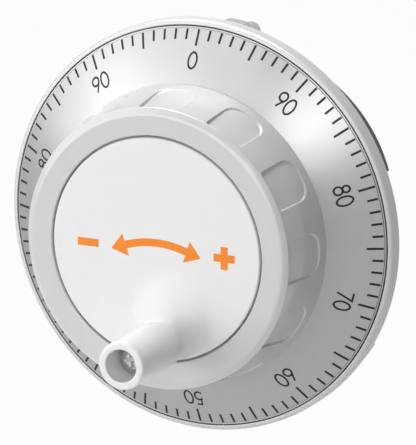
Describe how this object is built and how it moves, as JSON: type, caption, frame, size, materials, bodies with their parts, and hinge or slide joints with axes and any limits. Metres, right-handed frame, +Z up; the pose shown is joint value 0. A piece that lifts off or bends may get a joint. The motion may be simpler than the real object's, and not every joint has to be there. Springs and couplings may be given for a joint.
{
  "type": "pulse generator handwheel",
  "caption": "Panel-mounted manual pulse generator: a fluted knob with an offset crank grip and a graduated dial turns a clicking shaft and a slotted encoder disc.",
  "frame": {"origin": "on the wheel's axis, in the plane of the panel's front face, at the centre of the mounting studs' circle", "axes": "-Y towards the user, +Y through the panel along the wheel's axis, +X to the user's right, +Z up with the dial's 0 at the top"},
  "size_m": [0.08, 0.0645, 0.08],
  "materials": {
    "bezel_metal": "satin clear anodised, turned",
    "dial_metal": "spun satin with fine circular grain, black printed scale",
    "knob_plastic": "silver-grey moulding, fine satin",
    "cap_plastic": "white moulding, soft satin",
    "grip_plastic": "white moulding, half gloss",
    "housing_plastic": "black glass-filled moulding, fine spark texture",
    "zinc_steel": "bright zinc plated",
    "stainless_steel": "ground",
    "bearing_steel": "polished",
    "die_cast": "as cast, machined seats",
    "brass": "turned",
    "black_rubber": "matt",
    "spring_steel": "drawn wire and stamped strip",
    "black_steel": "black oxide",
    "acetal": "natural acetal",
    "board_green": "green solder mask over glass epoxy",
    "chip_black": "moulded epoxy",
    "capacitor_tan": "ceramic with tin ends",
    "lens_red": "dark red infrared window",
    "disc_steel": "etched and blackened sheet"
  },
  "bodies": {
    "housing": {"bezel": "bezel_metal", "mounting_studs": "zinc_steel", "mounting_nuts": "zinc_steel", "panel_gasket": "black_rubber", "bearing_housing": "die_cast", "bearing_housing_screws": "zinc_steel", "shaft_seal": "black_rubber", "front_bearing_outer": "bearing_steel", "rear_bearing_outer": "bearing_steel", "detent_block": "housing_plastic", "detent_block_screws": "zinc_steel", "detent_spring": "spring_steel", "detent_set_screw": "black_steel", "board_standoffs": "brass", "circuit_board": "board_green", "board_screws": "zinc_steel", "sensor_block": "chip_black", "sensor_lens": "lens_red", "sensor_mask": "disc_steel", "signal_chip": "chip_black", "board_capacitors": "capacitor_tan", "terminal_block": "housing_plastic", "terminal_clamps": "brass", "terminal_screws": "zinc_steel", "rear_housing": "housing_plastic", "rear_housing_screws": "zinc_steel"},
    "wheel": {"shaft": "stainless_steel", "front_bearing_inner": "bearing_steel", "rear_bearing_inner": "bearing_steel", "bearing_spacer": "stainless_steel", "retaining_ring": "spring_steel", "drive_hub": "brass", "hub_washer": "zinc_steel", "hub_screw": "zinc_steel", "dial": "dial_metal", "dial_screws": "zinc_steel", "knob": "knob_plastic", "centre_cap": "cap_plastic", "cap_pins": "stainless_steel", "crank_insert": "brass", "crank_spindle": "stainless_steel", "grip_washer": "acetal", "detent_wheel": "acetal", "code_disc": "disc_steel", "code_disc_hub": "stainless_steel", "code_disc_clamp": "stainless_steel", "code_hub_set_screw": "black_steel"},
    "grip": {"crank_grip": "grip_plastic"},
    "ball_trains": {"front_bearing_balls": "bearing_steel", "front_bearing_cage": "brass", "rear_bearing_balls": "bearing_steel", "rear_bearing_cage": "brass"},
    "plunger": {"detent_plunger": "brass"}
  },
  "joints": [
    {"name": "wheel_turn", "type": "hinge", "parent": "housing", "child": "wheel", "pos_m": [0, 0, 0], "axis": [0, 1, 0], "continuous": true},
    {"name": "grip_turn", "type": "hinge", "parent": "wheel", "child": "grip", "pos_m": [0.00326, -0.0357, -0.01679], "axis": [0, 1, 0], "continuous": true},
    {"name": "ball_train_turn", "type": "hinge", "parent": "housing", "child": "ball_trains", "pos_m": [0, 0, 0], "axis": [0, 1, 0], "continuous": true},
    {"name": "plunger_lift", "type": "slide", "parent": "housing", "child": "plunger", "axis": [0, 0, -1], "range_m": [0, 0.00015], "deforming": ["detent_spring"]}
  ],
  "couplings": [
    {"joint": "ball_train_turn", "follows": "wheel_turn", "ratio": 0.40083}
  ]
}
